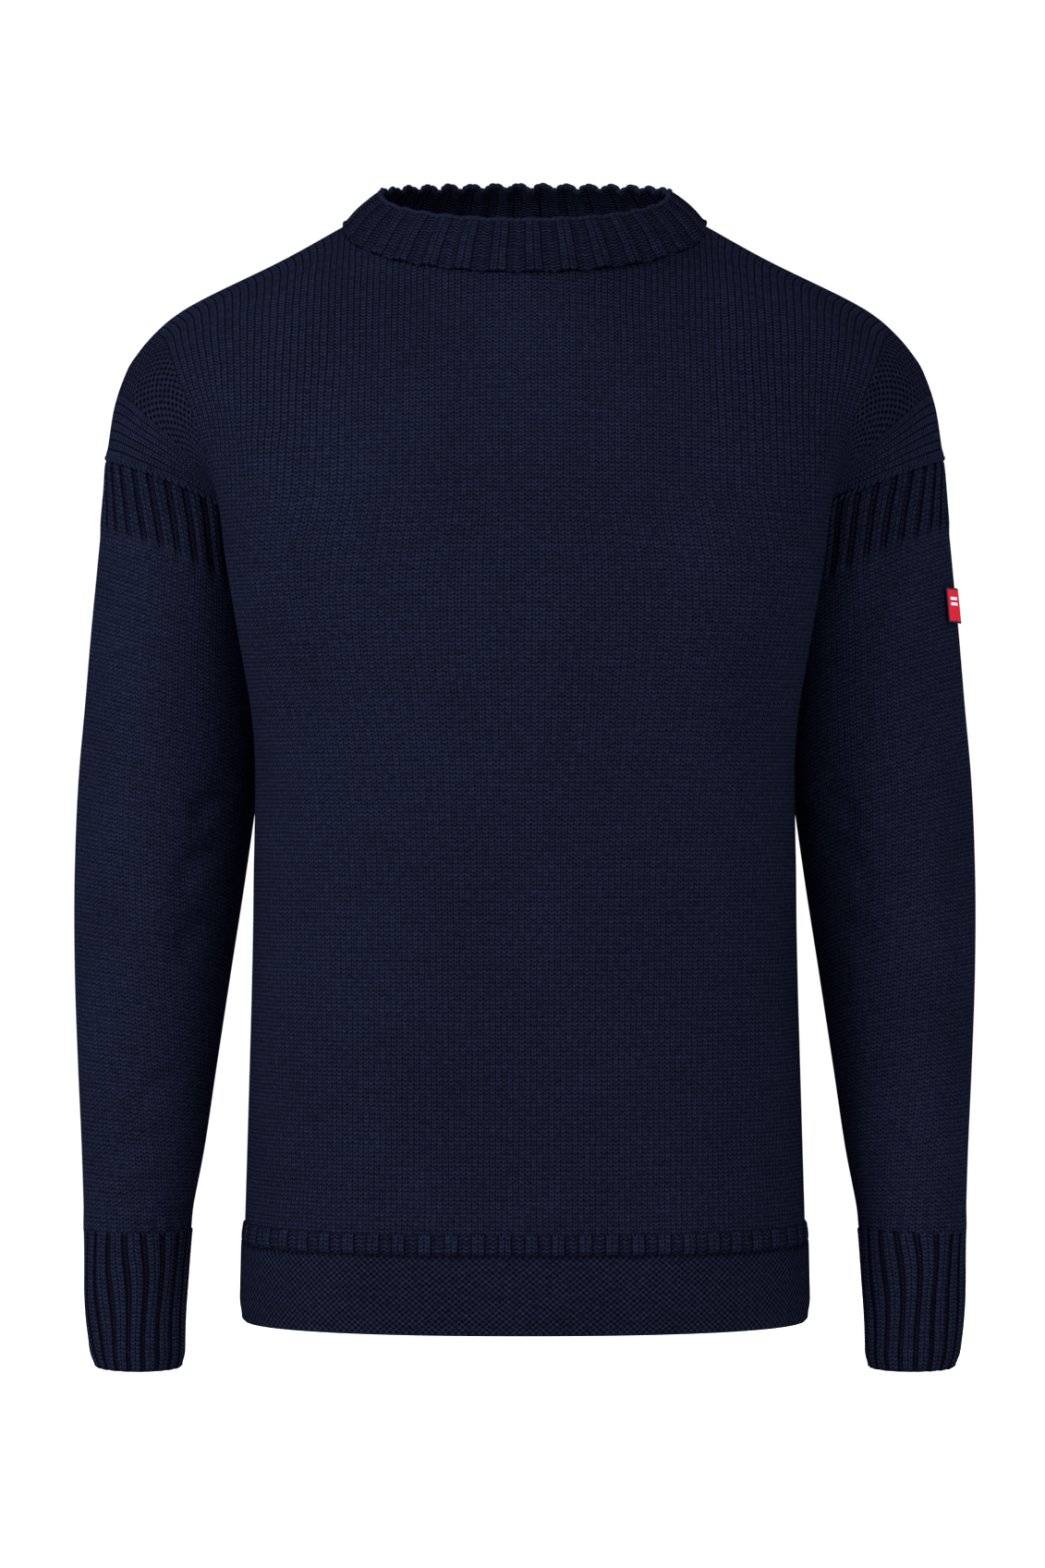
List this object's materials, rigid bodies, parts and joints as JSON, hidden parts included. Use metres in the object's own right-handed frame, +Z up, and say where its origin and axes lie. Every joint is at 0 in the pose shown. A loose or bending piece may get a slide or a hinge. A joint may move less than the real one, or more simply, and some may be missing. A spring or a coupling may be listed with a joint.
{
  "type": "fisherman's sweater",
  "caption": "Hollow dark knitted guernsey sweater in its worn shape, with a low ribbed collar, long sleeves with ribbed cuffs, textured shoulders and welts split at the sides.",
  "frame": {"origin": "midway between the two points where the collar crosses the shoulder lines, where the wearer holds the garment up", "axes": "+Z up, the front of the garment towards -Y, the wearer's left towards +X"},
  "size_m": [0.5604, 0.2537, 0.7373],
  "materials": {
    "navy_wool": "matt worsted knit",
    "woven_label": "matt woven"
  },
  "bodies": {
    "root": {"body_front": "navy_wool", "body_back": "navy_wool", "welt_front": "navy_wool", "welt_back": "navy_wool", "collar": "navy_wool", "sleeve_left": "navy_wool", "sleeve_right": "navy_wool", "cuff_left": "navy_wool", "cuff_right": "navy_wool", "sleeve_label": "woven_label"}
  },
  "joints": []
}
